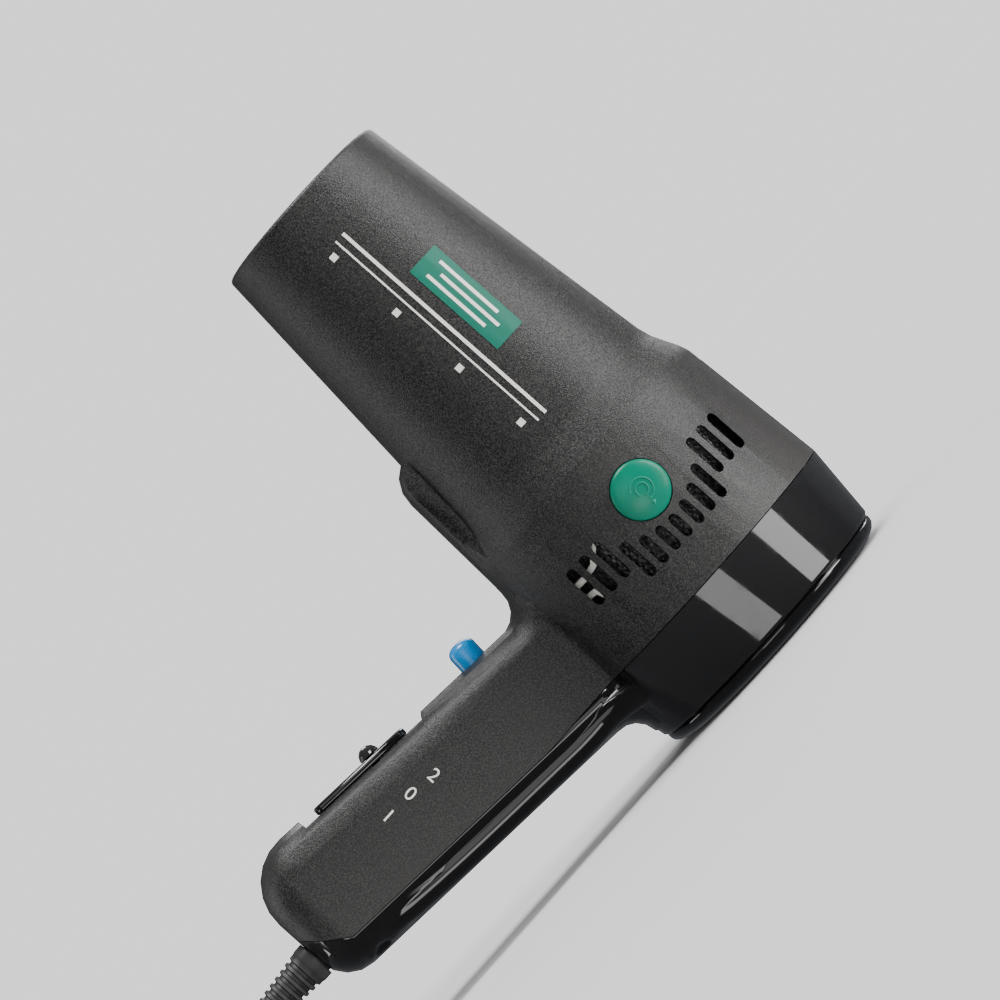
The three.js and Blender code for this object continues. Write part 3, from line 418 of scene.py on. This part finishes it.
def solid_copy(node_name, name):
    """A copy of a CAD node with its loose triangles merged into one skin."""
    clear_selection()
    piece = bpy.data.objects.new(name, frame["nodes"][node_name].data.copy())
    bpy.context.scene.collection.objects.link(piece)
    only(piece)
    bpy.ops.object.mode_set(mode="EDIT")
    bpy.ops.mesh.select_all(action="SELECT")
    bpy.ops.mesh.remove_doubles(threshold=2e-6)
    bpy.ops.object.mode_set(mode="OBJECT")
    return piece


def refined(node_name, name, angle=35, bevel=0.0, segments=2, moulded=False):
    piece = solid_copy(node_name, name)
    if bevel:
        with_modifier(piece, "BEVEL", width=bevel * MM, segments=segments, limit_method="ANGLE",
                      angle_limit=math.radians(38), harden_normals=False)
    dress(piece, name, body_of_node[node_name], slot_of_node[node_name],
          stands_for=(node_name,), angle=angle)
    if moulded:
        with_modifier(piece, "WEIGHTED_NORMAL", keep_sharp=True, weight=80)
    return piece


def ringed(profile, segments=48):
    """A ring of edges drawn out through a list of (radius, height) in millimetres, about Z."""
    clear_selection()
    radius, height = profile[0]
    bpy.ops.mesh.primitive_circle_add(vertices=segments, radius=radius * MM,
                                      location=(0, 0, height * MM))
    piece = bpy.context.object
    bpy.ops.object.mode_set(mode="EDIT")
    bpy.ops.mesh.select_all(action="SELECT")
    for (r0, z0), (r1, z1) in zip(profile, profile[1:]):
        bpy.ops.mesh.extrude_edges_move(TRANSFORM_OT_translate={"value": (0, 0, (z1 - z0) * MM)})
        bpy.ops.transform.resize(value=(r1 / r0, r1 / r0, 1), center_override=(0, 0, z1 * MM))
    bpy.ops.object.mode_set(mode="OBJECT")
    return settle(piece)


def capped(profile, segments=48):
    """As ringed, closed at both ends by a flat face."""
    piece = ringed(profile, segments)
    only(piece)
    bpy.ops.object.mode_set(mode="EDIT")
    bpy.ops.mesh.select_mode(type="EDGE")
    bpy.ops.mesh.select_all(action="DESELECT")
    bpy.ops.mesh.select_non_manifold()
    bpy.ops.mesh.fill_holes(sides=0)
    bpy.ops.mesh.select_mode(type="VERT")
    bpy.ops.object.mode_set(mode="OBJECT")
    return tidy_faces(piece)


def slab(size, place, bevel=0.0, segments=3):
    clear_selection()
    bpy.ops.mesh.primitive_cube_add(size=1, location=[v * MM for v in place])
    piece = bpy.context.object
    piece.scale = [v * MM for v in size]
    settle(piece)
    if bevel:
        bpy.ops.object.mode_set(mode="EDIT")
        bpy.ops.mesh.select_all(action="SELECT")
        bpy.ops.mesh.bevel(offset=bevel * MM, segments=segments, affect="EDGES")
        bpy.ops.object.mode_set(mode="OBJECT")
    return piece


# ---- the free cord, from the outlet in the handle's end to the plug ----
# Each point: how far out of the outlet, and what share of the drop to the plug is left.
FREE_ROUTE = [
    (0, 1), (5.3, 1), (10.6, 1), (15.9, 0.996), (21.1, 0.967), (26, 0.911), (30.6, 0.83),
    (34.6, 0.727), (38.4, 0.617), (42.2, 0.507), (46, 0.397), (49.8, 0.287), (53.8, 0.182),
    (58.2, 0.098), (63.1, 0.039), (68.3, 0.006), (73.6, 0), (78.9, 0),
]
FREE_START = OUTLET_END - CORD_GAP
cord_points = [
    Vector((FREE_START - out, 0, PLUG_CENTRE + (OUTLET_HEIGHT - PLUG_CENTRE) * drop)) * MM
    for out, drop in FREE_ROUTE
]

cord_line = bpy.data.curves.new("cord_flex", "CURVE")
cord_line.dimensions = "3D"
cord_line.bevel_depth = CORD_DIAMETER / 2 * MM
cord_line.bevel_resolution = 8
cord_line.use_fill_caps = True
spline = cord_line.splines.new("BEZIER")
spline.resolution_u = 8
spline.bezier_points.add(len(cord_points) - 1)
for knot, point in zip(spline.bezier_points, cord_points):
    knot.co = point
    knot.handle_left_type = knot.handle_right_type = "AUTO"
cord_flex = bpy.data.objects.new("cord_flex", cord_line)
bpy.context.scene.collection.objects.link(cord_flex)
dress(cord_flex, "cord_flex", "housing", "cord_black", stands_for=("cord_free",))


# ---- strain relief on the handle's end ----
def strain_relief():
    start, end = HANDLE_END, OUTLET_END
    ribs = 6
    profile = [(3.25, end), (4.2, end), (4.5, end + 0.5), (4.6, end + 1.6)]
    for i in range(ribs):
        near = end + 2.2 + i * 2.6
        r = 4.7 + i * 0.24
        profile += [(r - 0.8, near), (r - 0.8, near + 0.9), (r + 0.2, near + 1.3),
                    (r + 0.2, near + 2.3)]
    profile += [(6.2, start - 3.4), (6.4, start - 2.8), (6.4, start), (5.2, start),
                (5.2, start + 3.9), (6.4, start + 5.1), (6.4, start + 6.5),
                (3.25, start + 6.5), (3.25, end)]
    lying = (Matrix.Translation((0, 0, OUTLET_HEIGHT * MM))
             @ Matrix.Rotation(math.radians(90), 4, "Y"))
    piece = tidy_faces(ringed(profile, 40))
    stand(piece, lying)
    return dress(tidy_faces(piece), "strain_relief", "housing", "inner_plastic",
                 stands_for=("cord_outlet",), angle=32)


relief = strain_relief()

# ---- shells ----
front_shell = refined("front_housing", "front_shell", angle=32, moulded=True)
rear_shell = refined("rear_housing", "rear_shell", angle=32, moulded=True)
rear_cap = refined("rear_plate", "rear_cap", angle=32, moulded=True)
grille = refined("nozzle_grille", "grille", angle=35)
refined("switch_bezel", "knob_bezel", angle=35, bevel=0.25)
refined("switch_knob", "slide_knob", angle=35)


# ---- plug: a boxy body with grip ridges, a seam, a lamp and a ringed nose for the cord ----
def plug():
    low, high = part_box("plug_body")
    rear, nose = low.x / MM, high.x / MM
    body = solid_copy("plug_body", "plug")
    with_modifier(body, "BEVEL", width=0.5 * MM, segments=2, limit_method="ANGLE",
                  angle_limit=math.radians(40))
    trims = []
    entry = nose - PLUG_NOSE_LENGTH
    for i in range(4):
        x = entry - 5 - i * 3.4
        for y_side in (-1, 1):
            trims.append(slab((1.5, 0.9, 19), (x - 8, y_side * PLUG_SIDE, PLUG_CENTRE), 0.4, 2))
    for i in range(3):
        radius = 5.0 + 0.35 * i
        clear_selection()
        bpy.ops.mesh.primitive_torus_add(major_radius=radius * MM, minor_radius=0.6 * MM,
                                         major_segments=32, minor_segments=8,
                                         rotation=(0, math.radians(90), 0),
                                         location=((nose - 1.6 - i * 2.0) * MM, 0,
                                                   PLUG_CENTRE * MM))
        trims.append(settle(bpy.context.object))
    whole = joined([body, *trims])
    dress(whole, "plug", "housing", "inner_plastic", stands_for=("plug_body",), angle=32)
    with_modifier(whole, "WEIGHTED_NORMAL", keep_sharp=True, weight=80)
    seam = slab((entry - rear - 9, 48.3, 0.35), ((entry + rear - 9) / 2, 0, PLUG_CENTRE), 0.1, 1)
    dress(seam, "plug_seam", "housing", "cord_black")
    clear_selection()
    bpy.ops.mesh.primitive_uv_sphere_add(segments=24, ring_count=12, radius=1.5 * MM,
                                         location=((entry - 20) * MM, 0, 29.9 * MM))
    lens = bpy.context.object
    lens.scale = (1, 1, 0.4)
    settle(lens)
    dress(lens, "plug_lamp", "housing", "teal_button")
    return whole


plug_piece = plug()
for key_name in ("test_button", "reset_button"):
    refined(key_name, key_name + "_cap", angle=35, bevel=0.5, segments=3)


# ---- cord button: a domed cap with a raised rim and a wound-cord sign ----
def cord_button():
    face = shell_radius(BUTTON_HEIGHT) + 1.2

    def on_dome(radius):
        return face + 1.6 - 1.5 * (radius / 8) ** 2.2

    dome = [(0.4 + 8.0 * i / 8, on_dome(i)) for i in range(9)]
    profile = dome + [(8.9, face - 0.25), (9.2, face - 0.8), (9.3, face - 1.6), (9.3, 43.6),
                      (11.2, 43.6), (11.2, 42.1), (2.2, 42.1), (2.2, 30.7), (1.6, 30.7)]
    cap = capped(profile, 64)
    signs = []
    for radius, sweep in ((2.0, 300), (3.6, 250)):
        clear_selection()
        bpy.ops.mesh.primitive_torus_add(major_radius=radius * MM, minor_radius=0.3 * MM,
                                         major_segments=40, minor_segments=8,
                                         location=(0, 0, on_dome(radius) * MM))
        sign = bpy.context.object
        bpy.ops.object.mode_set(mode="EDIT")
        mesh = bmesh.from_edit_mesh(sign.data)
        for vertex in mesh.verts:
            angle = math.degrees(math.atan2(vertex.co.y, vertex.co.x)) % 360
            vertex.select = angle > sweep
        mesh.select_flush_mode()
        bmesh.update_edit_mesh(sign.data)
        bpy.ops.mesh.delete(type="VERT")
        bpy.ops.mesh.select_all(action="SELECT")
        bpy.ops.mesh.fill_holes(sides=0)
        bpy.ops.object.mode_set(mode="OBJECT")
        settle(sign)
        signs.append(sign)
    clear_selection()
    bpy.ops.mesh.primitive_cone_add(vertices=3, radius1=1.1 * MM, radius2=0.2 * MM, depth=0.7 * MM,
                                    location=(5.1 * MM, 0.0, (face + 1.25) * MM))
    signs.append(settle(bpy.context.object))
    whole = joined([cap, *signs])
    stand(whole, Matrix.Translation((0, 0, BUTTON_HEIGHT * MM)) @ FACING_FRONT_SIDE)
    return dress(whole, "cord_button_cap", "cord_button", "teal_button",
                 stands_for=("retract_button",), angle=30)


cord_button()


# ---- cool-shot button on the handle's front ----
def cool_button():
    top = HANDLE_TOP + 7.8
    profile = [(0.3, top), (1.4, top - 0.06), (2.4, top - 0.25), (3.3, top - 0.62),
               (3.95, top - 1.1), (4.4, top - 1.75), (4.65, top - 2.7), (4.65, 20.3),
               (6.15, 20.3), (6.15, 18.9), (1.8, 18.9),
               (1.8, 15.4), (1.2, 15.4)]
    piece = capped(profile, 48)
    stand(piece, HANDLE @ Matrix.Translation((COOL_PLACE * MM, 0, 0)))
    return dress(piece, "cool_button_cap", "cool_shot", "blue_button",
                 stands_for=("cool_button",), angle=30)


cool_button()


# ---- the two buttons' coil springs: each a smoothed copy of its coil, with a mesh of its own ----
def button_spring(node_name, name, outward):
    coil = refined(node_name, name, angle=60)
    outward = Vector(outward).normalized()
    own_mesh(coil)


button_spring("retract_spring", "cord_button_spring",
              (0, -1, 0))
button_spring("cool_spring", "cool_button_spring",
              (math.sin(HANDLE_LEAN), 0, math.cos(HANDLE_LEAN)))


# ---- print on the barrel and the handle ----
def laid_on(piece, target, lift=0.1, thickness=0.08):
    """Presses a flat piece that stands off the front side onto the shell behind it."""
    with_modifier(piece, "SHRINKWRAP", target=target, wrap_method="PROJECT", use_project_y=True,
                  use_positive_direction=True, use_negative_direction=False, use_project_x=False,
                  use_project_z=False, offset=lift * MM, wrap_mode="ABOVE_SURFACE")
    return with_modifier(piece, "SOLIDIFY", thickness=thickness * MM, offset=0.0)


def flat_patch(x0, x1, z0, z1, slices_x=6, slices_z=12):
    clear_selection()
    bpy.ops.mesh.primitive_grid_add(x_subdivisions=slices_x, y_subdivisions=slices_z, size=1,
                                    rotation=(math.radians(90), 0, 0),
                                    location=((x0 + x1) / 2 * MM, -60 * MM, (z0 + z1) / 2 * MM))
    piece = bpy.context.object
    piece.scale = ((x1 - x0) * MM, (z1 - z0) * MM, 1)
    return settle(piece)


def barrel_label():
    plate = laid_on(flat_patch(3.6, 15.1, 123.5, 159.1, 12, 6), front_shell, 0.1, 0.1)
    return dress(plate, "barrel_label", "housing", "teal_button", material=GREEN_PRINT)


def label_lines():
    lines = []
    for x, z0, z1 in ((6.4, 131, 154.5), (9.35, 128, 151.5), (12.3, 131, 154.5)):
        lines.append(laid_on(flat_patch(x - 0.55, x + 0.55, z0, z1, 3, 4), front_shell, 0.2, 0.08))
    return dress(joined(lines), "label_air_lines", "housing", "lead_white", material=WHITE_PRINT)


def barrel_stripe():
    bars = [laid_on(flat_patch(-1.6, -0.5, 100, 182, 3, 8), front_shell),
            laid_on(flat_patch(-4.6, -4.0, 100, 182, 3, 8), front_shell)]
    for z in (179.1, 153.7, 128.3, 103.5):
        bars.append(laid_on(flat_patch(-9.3, -7.1, z - 1.1, z + 1.1, 3, 2), front_shell))
    return dress(joined(bars), "barrel_stripes", "housing", "lead_white", material=WHITE_PRINT)


def handle_number(text, x, z, name):
    clear_selection()
    bpy.ops.object.text_add()
    sign = bpy.context.object
    sign.data.body = text
    sign.data.size = 6.2 * MM
    sign.data.align_x = "CENTER"
    sign.data.align_y = "CENTER"
    sign.data.resolution_u = 6
    bpy.ops.object.convert(target="MESH")
    sign = bpy.context.object
    stand(sign, Matrix.Translation((x * MM, -60 * MM, z * MM)) @ FACING_FRONT_SIDE)
    laid_on(sign, front_shell)
    return dress(sign, name, "housing", "lead_white", material=WHITE_PRINT)


barrel_label()
label_lines()
barrel_stripe()
for text, x, z, name in (("2", -104.4, 51.6, "number_two"), ("0", -113.3, 53.2, "number_zero"),
                         ("1", -122.8, 53.7, "number_one")):
    handle_number(text, x, z, name)


# ---- heater windings: each a close helix of wire bent round into a ring ----
def heater_winding(index, height):
    turns, around, ring_radius, coil_radius = 56, 10, 24.0, 1.85
    curve = bpy.data.curves.new(f"winding_{index}", "CURVE")
    curve.dimensions = "3D"
    curve.bevel_depth = 0.32 * MM
    curve.bevel_resolution = 1
    track = curve.splines.new("POLY")
    count = turns * around
    track.points.add(count - 1)
    for i, knot in enumerate(track.points):
        along = 2 * math.pi * i / count
        spin = 2 * math.pi * i / around
        r = ring_radius + coil_radius * math.cos(spin)
        knot.co = (r * math.cos(along) * MM, r * math.sin(along) * MM,
                   (height + coil_radius * math.sin(spin)) * MM, 1)
    track.use_cyclic_u = True
    clear_selection()
    winding = bpy.data.objects.new(f"winding_{index}", curve)
    bpy.context.scene.collection.objects.link(winding)
    only(winding)
    bpy.ops.object.convert(target="MESH")
    return dress(bpy.context.object, f"heater_winding_{index}", "housing", "nichrome",
                 stands_for=(f"heater_coil_{index}",), angle=60)


for index in range(1, 5):
    low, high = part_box(f"heater_coil_{index}")
    heater_winding(index, (low.z + high.z) / 2 / MM)


# ---- stage: a plain pale floor under soft studio lamps ----
def soft_lamp(name, place, size, power, aim=(0, 0, 0.1)):
    light = bpy.data.lights.new(name, "AREA")
    light.shape = "RECTANGLE"
    light.size, light.size_y = size
    light.energy = power
    lamp = bpy.data.objects.new(name, light)
    bpy.context.scene.collection.objects.link(lamp)
    lamp.location = place
    lamp.rotation_mode = "QUATERNION"
    lamp.rotation_quaternion = (Vector(aim) - Vector(place)).to_track_quat("-Z", "Y")
    lamp.visible_camera = False


def stage():
    clear_selection()
    bpy.ops.mesh.primitive_plane_add(size=12, location=(0, 0, -0.0004))
    floor = bpy.context.object
    floor.name = "floor"
    floor.data.materials.append(Finish("floor_paper", (0.9, 0.9, 0.9), 0.9).material)
    floor.is_shadow_catcher = True
    floor.visible_glossy = False
    floor.visible_shadow = False
    world = bpy.data.worlds.new("studio")
    bpy.context.scene.world = world
    world.use_nodes = True
    nodes, links = world.node_tree.nodes, world.node_tree.links
    seen = nodes["Background"]
    seen.inputs["Color"].default_value = (0.9, 0.905, 0.91, 1)
    seen.inputs["Strength"].default_value = 1.5
    lighting = nodes.new("ShaderNodeBackground")
    lighting.inputs["Color"].default_value = (0.9, 0.93, 1.0, 1)
    lighting.inputs["Strength"].default_value = 0.13
    rays = nodes.new("ShaderNodeLightPath")
    mix = nodes.new("ShaderNodeMixShader")
    links.new(rays.outputs["Is Camera Ray"], mix.inputs["Fac"])
    links.new(lighting.outputs["Background"], mix.inputs[1])
    links.new(seen.outputs["Background"], mix.inputs[2])
    links.new(mix.outputs["Shader"], nodes["World Output"].inputs["Surface"])
    soft_lamp("key", (1.05, -0.48, 0.4), (0.4, 1.0), 22)
    soft_lamp("front", (-0.3, -1.3, 0.5), (0.9, 0.7), 2.8)
    soft_lamp("top", (0.12, -0.12, 1.3), (0.6, 0.5), 22)
    soft_lamp("rim", (-0.95, 0.3, 0.35), (0.3, 0.9), 3)
    soft_lamp("back", (0.5, 1.1, 0.6), (0.9, 0.7), 8)
    soft_lamp("low_front", (-0.16, -1.05, -0.2), (0.45, 0.36), 2)
    soft_lamp("low_side", (0.95, -0.75, -0.32), (0.5, 0.35), 4)


stage()

clear_selection()
